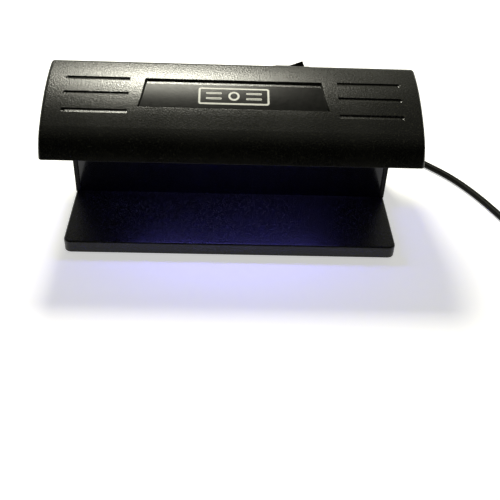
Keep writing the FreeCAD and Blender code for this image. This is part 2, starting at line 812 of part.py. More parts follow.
def build_column_housing():
    half = d.body_width / 2
    inner = half - d.wall
    rear, inner_rear = d.column_rear_y, d.column_rear_y - d.wall
    low, high = d.deck_level, d.tray_level
    body = new_body("column_form")
    sketch = outline(body, "column_outline", "XY_Plane", [
        (-half, 0.0), (-half, rear), (half, rear), (half, 0.0),
        (inner, 0.0), (inner, inner_rear), (-inner, inner_rear), (-inner, 0.0),
    ])
    sketch.setExpression("AttachmentOffset.Base.z", low.text)
    sketch.AttachmentOffset = Placement(Vector(0, 0, low.value), Rotation())
    doc.recompute()
    form = pad(body, sketch, high - low)
    back = DIMENSIONS["column_rear_y"]
    soften(body, form, d.column_corner, lambda e: vertical(e) and abs(e.BoundBox.YMax - back) < 1e-3)
    height = high - low
    bosses, ways = [], []
    for i, (x, y) in enumerate(COLUMN_BOSSES):
        side = 1 if x > 0 else -1
        bosses.append(rod(f"column_boss_{i}", d.boss_radius, (x, y, low), height))
        web = (size(x), inner + 1) if side > 0 else (-inner - 1, size(x))
        bosses.append(block(f"column_web_{i}", web, (y - 0.9, y + 0.9), (low, high)))
        ways.append(rod(f"column_low_hole_{i}", d.screw_hole_radius, (x, y, low - 1), 11.0))
        ways.append(rod(f"column_top_hole_{i}", d.screw_hole_radius, (x, y, high - 10), 11.0))
    panel_back = d.panel_setback + d.panel_thickness
    stops = [
        block(f"panel_stop_{side}", sorted_pair(side * (inner + 1), side * (inner - 2)),
              (panel_back, panel_back + 1.6), (low, high))
        for side in (-1, 1)
    ]
    cord_hole = rod("cord_hole", 4.0, (d.cord_exit_x, inner_rear - 1, d.cord_exit_z), d.wall + 2, "Y")
    vents = [
        block(f"vent_{i}", (-64.0, -24.0), (inner_rear - 1, rear + 1), (30.0 + 4.6 * i, 32.0 + 4.6 * i))
        for i in range(5)
    ]
    node("column_housing", remove(
        "column_housing_cut", join("column_with_bosses", body, *bosses, *stops),
        *ways, cord_hole, *vents,
    ))


def sorted_pair(a, b):
    a, b = size(a), size(b)
    return (a, b) if a.value < b.value else (b, a)


def build_back_panel():
    """The glossy wall behind the checking deck, held between the column's side walls."""
    half = d.body_width / 2 - d.wall - d.gap
    body = new_body("back_panel_form")
    sketch = outline(body, "back_panel_outline", "XZ_Plane", [
        (-half, d.deck_level), (half, d.deck_level), (half, d.tray_level), (-half, d.tray_level),
    ])
    sketch.setExpression("AttachmentOffset.Base.z", (-d.panel_setback).text)
    sketch.AttachmentOffset = Placement(Vector(0, 0, -d.panel_setback.value), Rotation())
    doc.recompute()
    feature = pad(body, sketch, d.panel_thickness)
    feature.Reversed = True
    doc.recompute()
    node("back_panel", body)


# ---------------------------------------------------------------- screws

def screw(name, x, y, head_z, length, upwards):
    """A pan-head self-tapping screw. The head's seat is at head_z and the shank runs away from it."""
    sign = 1 if upwards else -1
    head_low = head_z - d.screw_head_height if upwards else size(head_z)
    shank_low = size(head_z) if upwards else head_z - size(length)
    head = rod(name + "_head", d.screw_head_radius, (x, y, head_low), d.screw_head_height)
    shank = rod(name + "_shank", d.screw_radius, (x, y, shank_low), length - 1.2)
    if not upwards:
        shank_low_of_rod = head_z - size(length) + 1.2
        place(shank, x, y, shank_low_of_rod)
    tip_low = size(head_z) + length - 1.2 if upwards else head_z - size(length)
    radii = (d.screw_radius, 0.4) if upwards else (0.4, d.screw_radius)
    tip = cone(name + "_tip", *radii, (x, y, tip_low), 1.2)
    slot_z = head_low - 1 if sign > 0 else head_low + d.screw_head_height - 0.7
    drive = [
        block(name + "_drive_x", (x - 1.5, x + 1.5), (y - 0.3, y + 0.3), (slot_z, slot_z + 1.7)),
        block(name + "_drive_y", (x - 0.3, x + 0.3), (y - 1.5, y + 1.5), (slot_z, slot_z + 1.7)),
    ]
    return remove(name, join(name + "_form", head, shank, tip), *drive)


def countersunk(name, x, y, head_z, length):
    """A countersunk screw driven upwards, its head flush with head_z."""
    head = cone(name + "_head", d.screw_head_radius, d.screw_radius, (x, y, head_z), 1.3)
    shank = rod(name + "_shank", d.screw_radius, (x, y, head_z + 1.3), length - 1.3)
    drive = [
        block(name + "_drive_x", (x - 1.5, x + 1.5), (y - 0.3, y + 0.3), (head_z - 1, head_z + 0.7)),
        block(name + "_drive_y", (x - 0.3, x + 0.3), (y - 1.5, y + 1.5), (head_z - 1, head_z + 0.7)),
    ]
    return remove(name, join(name + "_form", head, shank), *drive)


def build_screws():
    tray_top = d.tray_level + d.tray_thickness
    under_deck = d.deck_level - d.deck_thickness
    node("hood_screws", group("hood_screw_set", *[
        screw(f"hood_screw_{i}", x, y, d.tray_level, 8.5, True) for i, (x, y) in enumerate(HOOD_BOSSES)
    ]))
    node("tray_screws", group("tray_screw_set", *[
        screw(f"tray_screw_{i}", x, y, tray_top, 9.0, False) for i, (x, y) in enumerate(COLUMN_BOSSES)
    ]))
    node("column_screws", group("column_screw_set", *[
        screw(f"column_screw_{i}", x, y, under_deck, 10.0, True) for i, (x, y) in enumerate(COLUMN_BOSSES)
    ]))
    node("bottom_plate_screws", group("plate_screw_set", *[
        countersunk(f"plate_screw_{i}", x, y, d.foot_height, 5.4) for i, (x, y) in enumerate(PLATE_BOSSES)
    ]))
    node("board_screws", group("board_screw_set", *[
        screw(f"board_screw_{i}", x, y, d.board_level + d.board_thickness, 6.0, False)
        for i, (x, y) in enumerate(board_screw_places())
    ]))


# ---------------------------------------------------------------- rocker switch

def build_switch_body():
    half_length, half_width = d.bezel_length / 2, d.bezel_width / 2
    bezel = block(
        "bezel_block", (-half_length, half_length), (-half_width, half_width), (0.0, d.bezel_height)
    )
    bezel_soft = doc.addObject("Part::Fillet", "bezel_soft")
    bezel_soft.Base = bezel
    doc.recompute()
    top = DIMENSIONS["bezel_height"]
    bezel_soft.Edges = [
        (i, 0.8, 0.8) for i, e in enumerate(bezel.Shape.Edges, start=1) if vertical(e) or level_at(e, top)
    ]
    case = block(
        "switch_case", (-d.switch_length / 2, d.switch_length / 2),
        (-d.switch_width / 2, d.switch_width / 2), (-d.switch_depth, 0.0),
    )
    well = block("rocker_well", (-8.8, 8.8), (-5.7, 5.7), (-6.6, 3.0))
    contact_well = block("contact_well", (-7.5, 7.5), (-4.0, 4.0), (-10.6, -6.0))
    pivot_holes = rod("pivot_holes", 1.08, (0.0, -10.0, -d.rocker_pivot_depth), 20.0, "Y")
    node("switch_body", put_on_slope(remove(
        "switch_body_cut", join("switch_body_block", bezel_soft, case), well, contact_well, pivot_holes
    )))


def rocker_rest():
    """The rocker at rest is tilted so that its right end stands up."""
    centre = switch_point(0.0, 0.0, -d.rocker_pivot_depth)
    slope = Rotation(Vector(1, 0, 0), -d.rear_slope.value)
    tilt = Rotation(Vector(0, 1, 0), -d.rocker_tilt.value)
    return centre, slope.multiply(tilt)


def build_rocker():
    """The rocker, made round its pivot: two dished faces that meet in a shallow V, and two trunnions."""
    length = d.rocker_half_length
    body = new_body("rocker_form")
    sketch = outline(body, "rocker_profile", "XZ_Plane", [
        (-length, 1.5), (-length + 0.8, 5.3), (0.0, 4.0), (length - 0.8, 5.3),
        (length, 1.5), (length - 0.3, -2.0), (-length + 0.3, -2.0),
    ])
    pad(body, sketch, d.rocker_half_width * 2, middle=True)
    sleeve = rod("plunger_sleeve", 2.2, (0.0, 0.0, -4.5), 3.0)
    sleeve_bore = rod("plunger_bore", 1.3, (0.0, 0.0, -6.0), 6.5)
    trunnions = rod(
        "trunnions", 1.0, (0.0, -d.rocker_half_width - 0.8, 0.0), d.rocker_half_width * 2 + 1.6, "Y"
    )
    centre, rotation = rocker_rest()
    node("rocker", place(
        remove("rocker_cut", join("rocker_block", body, sleeve, trunnions), sleeve_bore),
        *centre, rotation=rotation,
    ))
    pin = rod("plunger_pin", 1.15, (0.0, 0.0, -5.4), 3.2)
    nose = cone("plunger_nose", 0.5, 1.15, (0.0, 0.0, -6.1), 0.7)
    node("rocker_plunger", place(join("rocker_plunger_join", pin, nose), *centre, rotation=rotation))
    spring = doc.addObject("Part::Feature", "rocker_spring_form")
    spring.Shape = spring_shape(0.95, 0.18, 0.62, 2.48)
    node("rocker_spring", place(spring, *centre, rotation=rotation))


def spring_shape(radius, wire_radius, pitch, height):
    """A compression spring standing on the plunger."""
    low = -2.0 + wire_radius
    helix = Part.makeHelix(pitch, height - 2 * wire_radius, radius)
    helix.translate(Vector(0, 0, low))
    section = Part.Wire(Part.makeCircle(wire_radius, Vector(radius, 0, low), Vector(0, 1, 0)))
    return Part.Wire(helix.Edges).makePipeShell([section], True, True)


def build_switch_contacts():
    """The see-saw contact under the plunger, and the two blades that leave the case."""
    centre = switch_point(0.0, 0.0, -d.contact_depth)
    slope = Rotation(Vector(1, 0, 0), -d.rear_slope.value)
    tilt = Rotation(Vector(0, 1, 0), d.contact_tilt.value)
    strip = block("contact_strip", (-6.0, 6.0), (-2.0, 2.0), (-0.2, 0.2))
    knife = rod("contact_knife", 0.5, (0.0, -2.0, -0.5), 4.0, "Y")
    node("switch_contact_lever", place(
        join("contact_lever_join", strip, knife), *centre, rotation=slope.multiply(tilt)
    ))
    blades = [
        block(f"switch_blade_{i}", (5.0 * i - 0.4, 5.0 * i + 0.4), (-2.4, 2.4),
              (-d.switch_depth - 7.0, -d.switch_depth))
        for i in (-1, 1)
    ]
    node("switch_terminals", put_on_slope(group("switch_blades", *blades)))


# ---------------------------------------------------------------- lamp driver board

def board_screw_places():
    return [
        (x, y)
        for x in (d.board_left + d.board_inset, d.board_right - d.board_inset)
        for y in (d.board_front + d.board_inset, d.board_rear - d.board_inset)
    ]


def build_board():
    top = d.board_level + d.board_thickness
    board = block("board_form", (d.board_left, d.board_right), (d.board_front, d.board_rear),
                  (d.board_level, top))
    holes = [
        rod(f"board_hole_{i}", d.clearance_hole_radius, (x, y, d.board_level - 1), d.board_thickness + 2)
        for i, (x, y) in enumerate(board_screw_places())
    ]
    node("driver_board", remove("driver_board_cut", board, *holes))

    core = block("choke_core_form", (-22.0, 2.0), (15.0, 29.0), (top, top + 18))
    windows = [
        block(f"choke_window_{i}", (x, x + 5.0), (14.0, 30.0), (top + 3.5, top + 14.5))
        for i, x in enumerate((-18.5, -6.5))
    ]
    node("choke_core", remove("choke_core_cut", core, *windows))
    wound = block("choke_winding_form", (-18.2, -1.8), (11.6, 32.4), (top + 3.8, top + 14.2))
    limb = block("choke_limb_way", (-13.7, -6.3), (14.8, 29.2), (top, top + 18))
    node("choke_winding", remove("choke_winding_cut", wound, limb))

    can = rod("reservoir_can", 5.0, (-48.0, 20.0, top + 0.2), 16.0)
    node("reservoir_capacitor", can)
    films = [
        block(f"film_capacitor_{i}", (-38.0, -26.0), (y, y + 5.5), (top + 0.2, top + 10.2))
        for i, y in enumerate((13.0, 26.0))
    ]
    node("film_capacitors", group("film_capacitor_set", *films))
    transistors = [
        block(f"transistor_{i}", (6.0, 14.0), (y, y + 2.8), (top + 2.5, top + 13.5))
        for i, y in enumerate((14.5, 26.5))
    ]
    legs = [
        block(f"transistor_leg_{i}_{k}", (7.8 + 2.0 * k, 8.4 + 2.0 * k), (y + 1.1, y + 1.7), (top, top + 2.5))
        for i, y in enumerate((14.5, 26.5)) for k in range(3)
    ]
    bodies = [
        join(f"transistor_{i}_with_legs", transistors[i], *legs[3 * i:3 * i + 3]) for i in range(2)
    ]
    node("drive_transistors", group("transistor_set", *bodies))
    resistors = [
        rod(f"resistor_{i}", 1.2, (-53.0 + 7.5 * i, 28.5, top + 1.4), 6.0, "X") for i in range(2)
    ]
    node("board_resistors", group("resistor_set", *resistors))
    header = block("header_form", (15.5, 21.5), (16.5, 27.5), (top, top + 8))
    node("board_connector", header)


# ---------------------------------------------------------------- wires, lead and plug

def tube_path(points):
    """Straight runs joined by tangent arcs, each 0.45 of its shorter run away from its point."""
    points = [Vector(*p) for p in points]
    edges, radii = [], []
    start = points[0]
    for before, corner, after in zip(points, points[1:], points[2:]):
        back, ahead = before - corner, after - corner
        reach = 0.45 * min(back.Length, ahead.Length)
        back.normalize()
        ahead.normalize()
        turn = math.pi - back.getAngle(ahead)
        first, last = corner + back * reach, corner + ahead * reach
        bisector = (back + ahead).normalize()
        radius = reach / math.tan(turn / 2)
        middle = corner + bisector * (math.hypot(radius, reach) - radius)
        edges.append(Part.LineSegment(start, first).toShape())
        edges.append(Part.Arc(first, middle, last).toShape())
        radii.append(radius)
        start = last
    edges.append(Part.LineSegment(start, points[-1]).toShape())
    return Part.Wire(edges), radii


def tube_shape(points, radius, name=""):
    """A round tube along a route; the names given have their radii and volume printed."""
    wire, radii = tube_path(points)
    direction = Vector(*points[1]) - Vector(*points[0])
    section = Part.Wire(Part.makeCircle(radius, Vector(*points[0]), direction))
    tube = wire.makePipeShell([section], True, False)
    if name:
        ratio = tube.Volume / (math.pi * radius ** 2 * wire.Length)
        print(f"{name}: length {wire.Length:.1f}, volume ratio {ratio:.4f}, radii",
              " ".join(f"{r:.0f}" for r in radii))
    return tube


def tube(label, routes, radius, name=""):
    """A node of one tube or several along free routes."""
    feature = doc.addObject("Part::Feature", label + "_form")
    shapes = [tube_shape(points, radius, name) for points in routes]
    feature.Shape = shapes[0] if len(shapes) == 1 else Part.makeCompound(shapes)
    feature.Placement = Placement()
    return node(label, feature)


def build_wires():
    radius = 0.7
    lamp_y, lamp_z = d.lamp_y.value, d.lamp_z.value
    holder_x = d.lamp_half.value + d.gap.value + d.holder_thickness.value
    tab_end = holder_x + 4.0
    for side, name in ((-1, "left"), (1, "right")):
        routes = []
        for i in (-1, 1):
            start_x = 18.5 + 1.1 * side
            routes.append([
                (start_x, 22.0 + 2.4 * i, 23.6),
                (start_x, 22.0 + 2.4 * i, 32.0),
                (side * 24.0 + start_x * 0.3, 14.0 + 1.6 * i, 46.0),
                (side * 48.0, 12.0 + 1.6 * i, 60.0),
                (side * 60.0, 9.0 + 0.4 * i, 67.0 + 1.2 * i),
                (side * 78.0, 5.0 + 0.4 * i, lamp_z + 1.2 * i),
                (side * 90.0, 0.5, lamp_z + 1.2 * i),
                (side * 90.0, lamp_y + 3.0 + 1.6 * i, lamp_z + 0.4 * i),
                (side * tab_end, lamp_y + 3.0 * i, lamp_z),
            ])
        tube(f"lamp_leads_{name}", routes, radius)
    blade_tips = [
        [c.value for c in switch_point(5.0 * i, 0.0, -d.switch_depth - 7.0)] for i in (-1, 1)
    ]
    routes = []
    for i, tip in zip((-1, 1), blade_tips):
        routes.append([
            tuple(tip),
            (tip[0], tip[1] - 2.5, tip[2] - 5.0),
            (tip[0] + 1.0, tip[1] - 1.0, 44.0),
            (33.0 + 4.0 * i, 26.0, 34.0),
            (28.0 + 3.0 * i, 30.0, 26.0),
            (21.5, 25.6 if i < 0 else 18.4, 20.0 if i < 0 else 17.6),
        ])
    tube("switch_leads", [routes[0]], radius)
    exit_y = d.column_rear_y.value - d.wall.value - 1.6
    exit_x, exit_z = d.cord_exit_x.value, d.cord_exit_z.value
    tube("mains_leads", [
        [(exit_x - 1.0, exit_y, exit_z), (exit_x - 1.5, exit_y - 4.0, exit_z),
         (exit_x - 6.0, 30.0, exit_z), (28.0, 21.0, 19.5), (21.5, 20.0, 18.4)],
        [(exit_x + 1.0, exit_y, exit_z), (exit_x + 2.0, exit_y - 5.0, exit_z + 2.0),
         (44.0, 30.0, 28.0), (42.0, 24.0, 38.0), (blade_tips[1][0] + 1.0, blade_tips[1][1] - 1.0, 46.0),
         tuple(blade_tips[1])],
    ], radius)


def build_strain_relief():
    """A moulded bush: collar inside the wall, neck in its hole, flange, and a ribbed tapering boot."""
    thick = d.wall
    end = d.half_depth + 19.0
    flange = d.column_rear_y + 1.5
    inner = d.column_rear_y - thick
    corners = [
        (0.0, inner - 1.6), (5.0, inner - 1.6), (5.0, inner), (3.95, inner),
        (3.95, d.column_rear_y), (6.0, d.column_rear_y), (6.0, flange),
    ]
    ribs = 6
    length = (end - flange) / ribs
    for i in range(ribs):
        radius = 4.4 - 0.24 * i
        start = flange + length * i
        corners += [
            (radius, start), (radius - 0.12, start + length * 0.7),
            (radius - 0.8, start + length * 0.72), (radius - 0.82, start + length),
        ]
    corners.append((0.0, end))
    body = turned("strain_relief_form", corners)
    node("cord_strain_relief", place(
        body, d.cord_exit_x, 0.0, d.cord_exit_z, rotation=Rotation(Vector(1, 0, 0), -90)
    ))


def build_cord():
    radius = DIMENSIONS["cord_radius"]
    tube("power_cord", [CORD_ROUTE], radius, "power_cord")
    tube("cord_tail", [TAIL_ROUTE], radius, "cord_tail")
    height = d.coil_top - d.coil_bottom
    ring = rod("coil_outer_form", d.coil_outer, (d.coil_x, d.coil_y, d.coil_bottom), height)
    hole = rod("coil_inner_form", d.coil_inner, (d.coil_x, d.coil_y, d.coil_bottom - 1), height + 2)
    node("cord_coil", remove("cord_coil_cut", ring, hole))

    side = d.tie_width / 2
    near, far = d.coil_y - d.coil_outer, d.coil_y - d.coil_inner
    band = block("tie_outside", (d.coil_x - side, d.coil_x + side),
                 (near - d.tie_thickness - 1.2, far + d.tie_thickness), (0.0, d.coil_top + d.tie_thickness))
    bundle = block("tie_inside", (d.coil_x - side - 1, d.coil_x + side + 1),
                   (near - 1.2, far + 0.6), (d.coil_bottom, d.coil_top))
    node("cord_tie", remove("cord_tie_cut", band, bundle))


def build_plug():
    """A fused three-pin plug lying on its back, with its pins upwards."""
    near, far = d.plug_near_y, d.plug_near_y + d.plug_length
    body = new_body("plug_form")
    sketch = outline(body, "plug_outline", "XY_Plane", [
        (-d.plug_near_half, near + 4), (-d.plug_near_half, near + 24), (-d.plug_far_half, far),
        (d.plug_far_half, far), (d.plug_near_half, near + 24), (d.plug_near_half, near + 4),
        (d.plug_near_half - 9, near), (-d.plug_near_half + 9, near),
    ])
    form = pad(body, sketch, d.plug_height)
    rounded = soften(body, form, 5.0, vertical)
    soften(body, rounded, 2.0, lambda e: level_at(e, 0.0))
    boot = cone("plug_boot", 2.9, 4.6, (0.0, near - d.plug_boot_length, d.plug_entry_z),
                d.plug_boot_length + 1, "Y")
    node("plug_body", place(join("plug_body_join", body, boot), d.plug_x, 0.0, 0.0))

    pin_y = near + 15
    face = d.plug_height
    pins = [
        block(f"plug_pin_{i}", (i * d.pin_pitch / 2 - d.pin_wide / 2, i * d.pin_pitch / 2 + d.pin_wide / 2),
              (pin_y - d.pin_thick / 2, pin_y + d.pin_thick / 2), (face, face + d.pin_length))
        for i in (-1, 1)
    ]
    node("plug_live_pins", place(group("plug_pin_pair", *pins), d.plug_x, 0.0, 0.0))
    earth_y = pin_y + d.pin_pitch
    earth = block("plug_earth_form", (-d.pin_thick / 2, d.pin_thick / 2),
                  (earth_y - d.earth_pin_wide / 2, earth_y + d.earth_pin_wide / 2),
                  (face, face + d.earth_pin_length))
    node("plug_earth_pin", place(group("plug_earth", earth), d.plug_x, 0.0, 0.0))
    carrier = block("fuse_carrier_form", (-4.0, 4.0), (pin_y - 12.5, pin_y + 14.0), (face, face + 0.8))
    node("plug_fuse_carrier", place(group("plug_fuse", carrier), d.plug_x, 0.0, 0.0))


# ---------------------------------------------------------------- assembly and export

def check_document():
    doc.recompute()
    for thing in doc.Objects:
        if "Invalid" in thing.State or "Error" in thing.State:
            raise RuntimeError(f"{thing.Name} failed: {thing.State}")
    for label, thing in nodes.items():
        if thing.Shape.isNull() or not thing.Shape.isValid() or not thing.Shape.Solids:
            raise RuntimeError(f"{label} has no valid solid")


def main():
    build_hood_cover()
    build_hood_tray()
    build_reflector()
    build_uv_tube()
    build_lamp_holders()
    build_base_shell()
    build_bottom_plate()
    build_feet()
    build_column_housing()
    build_back_panel()
    build_screws()
    build_switch_body()
    build_rocker()
    build_switch_contacts()
    build_board()
    build_wires()
    build_strain_relief()
    build_cord()
    build_plug()
    check_document()
    os.makedirs("parts", exist_ok=True)
    for label, thing in nodes.items():
        thing.Shape.exportStep(f"parts/{label}.step")
        print(f"{label}: {len(thing.Shape.Solids)} solids, {thing.Shape.Volume:.0f} mm3")
    print(len(nodes), "nodes")


main()
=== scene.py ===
import json
import math

import bpy
from mathutils import Matrix, Vector


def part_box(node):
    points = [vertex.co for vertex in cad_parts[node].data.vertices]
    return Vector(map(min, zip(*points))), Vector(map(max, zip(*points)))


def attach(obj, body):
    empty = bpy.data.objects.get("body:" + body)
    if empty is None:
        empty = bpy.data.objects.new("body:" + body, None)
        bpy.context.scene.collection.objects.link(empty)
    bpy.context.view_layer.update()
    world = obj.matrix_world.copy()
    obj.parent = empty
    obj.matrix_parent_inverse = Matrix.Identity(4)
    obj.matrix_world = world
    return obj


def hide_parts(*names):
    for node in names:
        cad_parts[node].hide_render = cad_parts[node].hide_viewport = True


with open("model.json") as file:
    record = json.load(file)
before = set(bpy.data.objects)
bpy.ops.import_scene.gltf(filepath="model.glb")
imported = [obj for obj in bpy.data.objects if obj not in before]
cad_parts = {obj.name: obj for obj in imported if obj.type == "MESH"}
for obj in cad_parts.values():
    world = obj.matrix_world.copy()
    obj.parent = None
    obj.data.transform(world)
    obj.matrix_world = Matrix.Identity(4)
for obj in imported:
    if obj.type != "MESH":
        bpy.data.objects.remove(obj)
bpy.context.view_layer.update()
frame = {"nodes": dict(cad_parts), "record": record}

MM = 0.001
scene = bpy.context.scene


# ---------------------------------------------------------------- camera

# Place and near limit in metres, lens and sensor in millimetres.
CAMERA_PLACE = Vector((-0.004618, -0.374044, 0.268060))
CAMERA_YAW = math.radians(2.644)
CAMERA_PITCH = math.radians(38.733)
CAMERA_ROLL = math.radians(-2.754)
CAMERA_LENS = 56.12
CAMERA_SENSOR = 36.0
CAMERA_NEAR = 0.01


def camera_rotation(yaw, pitch, roll):
    """Columns are the camera's right, up and backward directions."""
    ahead = Vector((
        math.sin(yaw) * math.cos(pitch),
        math.cos(yaw) * math.cos(pitch),
        -math.sin(pitch),
    ))
    level_right = Vector((math.cos(yaw), -math.sin(yaw), 0.0))
    level_down = ahead.cross(level_right)
    right = level_right * math.cos(roll) + level_down * math.sin(roll)
    down = level_down * math.cos(roll) - level_right * math.sin(roll)
    return Matrix((right, -down, -ahead)).transposed()


def add_camera():
    data = bpy.data.cameras.new("camera")
    data.lens = CAMERA_LENS
    data.sensor_width = CAMERA_SENSOR
    data.clip_start = CAMERA_NEAR
    camera = bpy.data.objects.new("camera", data)
    rotation = camera_rotation(CAMERA_YAW, CAMERA_PITCH, CAMERA_ROLL)
    camera.matrix_world = Matrix.Translation(CAMERA_PLACE) @ rotation.to_4x4()
    scene.collection.objects.link(camera)
    scene.camera = camera


add_camera()


# ---------------------------------------------------------------- mains cord

# Diameter and length in metres. The route, the coil, the strap and the sleeves in millimetres.
CORD_DIAMETER = 4.0 * MM
CORD_ROUTE = [
    (40.0, 66.0, 20.0), (42.0, 80.0, 18.2), (52.0, 90.0, 13.0), (68.0, 91.5, 7.5),
    (84.0, 84.5, 3.6), (98.0, 74.0, 2.0), (111.0, 62.0, 2.0), (124.5, 48.8, 2.0),
    (138.5, 33.5, 2.0), (149.5, 15.0, 2.0), (158.0, -4.5, 2.0), (164.0, -21.0, 2.3),
    (166.0, -38.0, 2.8),
]
CORD_TAIL = [(222.1, -28.0, 14.8), (222.1, -17.0, 13.8), (222.1, -5.5, 12.0)]
COIL_CENTRE = (196.1, -38.0)
COIL_OUTER = 26.0
COIL_INNER = 16.1
COIL_BOTTOM = 2.8
COIL_LAYER = 4.13
COIL_LAYERS = 4
COIL_TURNS = 9.5
POINTS_PER_TURN = 14
# The first points swing out to meet the route, and each layer climbs in its last tenth.
ENTRY_POINTS = 5
ENTRY_SWING = 3.6
CLIMB_PART = 0.1

TIE_MIDDLE = (-59.55, 9.0)
TIE_HALF = (7.35, 8.9)
TIE_THICKNESS = 0.75
TIE_WIDTH = 8.0
TIE_CORNER = 2.6
CORNER_STEPS = 8
LOWEST = 0.02

PIN_HALF_WIDTH = 3.2
SLEEVE_LENGTH = 9.0
SLEEVE_SINK = 0.1
SLEEVE_STAND = 0.2
SLEEVE_INNER_CORNER = 0.2
SLEEVE_OUTER_CORNER = 0.5
SLEEVE_STEPS = 4


# ---------------------------------------------------------------- mesh tools

def add_mesh(name, points, faces, body):
    """A new mesh piece that rides on a body."""
    mesh = bpy.data.meshes.new(name)
    mesh.from_pydata([tuple(p) for p in points], [], faces)
    piece = bpy.data.objects.new(name, mesh)
    scene.collection.objects.link(piece)
    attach(piece, body)
    return piece


def rounded_box(cx, cy, half_x, half_y, radius, steps=5):
    """The outline of a rectangle with rounded corners, as flat points in order."""
    points = []
    for k, (sx, sy) in enumerate(((1, 1), (-1, 1), (-1, -1), (1, -1))):
        for i in range(steps + 1):
            angle = math.radians(90 * k + 90 * i / steps)
            points.append((
                cx + sx * (half_x - radius) + radius * math.cos(angle),
                cy + sy * (half_y - radius) + radius * math.sin(angle),
            ))
    return points


def add_sleeve(name, inner, outer, low, high, place):
    """A closed band between two outlines, raised from one level to another and put in place."""
    count = len(inner)
    rings = ((inner, low), (outer, low), (outer, high), (inner, high))
    points = [place(x, y, level) for outline, level in rings for x, y in outline]
    faces = []
    for ring in range(len(rings)):
        here, there = ring * count, (ring + 1) % len(rings) * count
        for i in range(count):
            j = (i + 1) % count
            faces.append((here + i, here + j, there + j, there + i))
    return add_mesh(name, points, faces, "detector")


def add_cord_tie():
    """The strap round one side of the coil, with rounded corners."""
    def place(y, z, x):
        return Vector((x, y, max(z, LOWEST))) * MM

    y, z = TIE_MIDDLE
    half_y, half_z = TIE_HALF
    inner = rounded_box(
        y, z, half_y - TIE_THICKNESS, half_z - TIE_THICKNESS, TIE_CORNER, CORNER_STEPS
    )
    outer = rounded_box(y, z, half_y, half_z, TIE_CORNER + TIE_THICKNESS, CORNER_STEPS)
    left = COIL_CENTRE[0] - TIE_WIDTH / 2
    return add_sleeve("cord_tie_strap", inner, outer, left, left + TIE_WIDTH, place)


def add_pin_sleeves():
    """The insulation round the lower part of each live pin."""
    def place(x, y, z):
        return Vector((x, y, z)) * MM

    low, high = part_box("plug_live_pins")
    y = (low[1] + high[1]) / 2 / MM
    face = low[2] / MM
    wide, thick = PIN_HALF_WIDTH, (high[1] - low[1]) / 2 / MM
    sleeves = []
    for name, x in (("left", low[0] / MM + wide), ("right", high[0] / MM - wide)):
        inner = rounded_box(
            x, y, wide - SLEEVE_SINK, thick - SLEEVE_SINK, SLEEVE_INNER_CORNER, SLEEVE_STEPS
        )
        outer = rounded_box(
            x, y, wide + SLEEVE_STAND, thick + SLEEVE_STAND, SLEEVE_OUTER_CORNER, SLEEVE_STEPS
        )
        sleeves.append(add_sleeve(
            f"pin_sleeve_{name}", inner, outer, face, face + SLEEVE_LENGTH, place
        ))
    return sleeves


def coil_points():
    """Layers that run inwards and outwards in turn, each lying on the one below."""
    count = int(COIL_TURNS * POINTS_PER_TURN)
    points = []
    for i in range(1, count):
        along = i / count
        angle = math.pi + along * COIL_TURNS * 2 * math.pi
        layer = min(int(along * COIL_LAYERS), COIL_LAYERS - 1)
        part = along * COIL_LAYERS - layer
        inward = part if layer % 2 == 0 else 1 - part
        radius = COIL_OUTER + (COIL_INNER - COIL_OUTER) * inward
        radius += ENTRY_SWING * max(0.0, 1 - i / ENTRY_POINTS)
        climb = max(0.0, (part - 1 + CLIMB_PART) / CLIMB_PART) if layer < COIL_LAYERS - 1 else 0.0
        points.append((
            COIL_CENTRE[0] + radius * math.cos(angle),
            COIL_CENTRE[1] + radius * math.sin(angle),
            COIL_BOTTOM + COIL_LAYER * (layer + climb),
        ))
    return points


def add_cord():
    """The mains lead as one cord, with the strap on its coil and the sleeves on its plug's pins."""
    points = CORD_ROUTE + coil_points() + CORD_TAIL
    data = bpy.data.curves.new("mains_cord", "CURVE")
    data.dimensions = "3D"
    data.bevel_depth = 1.0
    data.bevel_resolution = 6
    data.resolution_u = 8
    spline = data.splines.new("NURBS")
    spline.points.add(len(points) - 1)
    for point, place in zip(spline.points, points):
        point.co = (*(Vector(place) * MM), 1.0)
        point.radius = CORD_DIAMETER / 2
    spline.order_u = 3
    spline.use_endpoint_u = True
    cord = bpy.data.objects.new("mains_cord", data)
    scene.collection.objects.link(cord)
    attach(cord, "detector")
    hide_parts("power_cord", "cord_coil", "cord_tail")
    strap = add_cord_tie()
    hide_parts("cord_tie")
    sleeves = add_pin_sleeves()
    return cord, [strap, *sleeves]


cord, cord_pieces = add_cord()


# ---------------------------------------------------------------- material tools

def add_node(tree, kind, inputs=None, **settings):
    """A node with its settings, and its inputs linked or set."""
    node = tree.nodes.new(kind)
    for key, value in settings.items():
        setattr(node, key, value)
    for key, value in (inputs or {}).items():
        if isinstance(value, bpy.types.NodeSocket):
            tree.links.new(value, node.inputs[key])
        else:
            node.inputs[key].default_value = value
    return node


# Socket numbers of the colour mix node.
MIX_FACTOR, MIX_FIRST, MIX_SECOND, MIX_RESULT = 0, 6, 7, 2


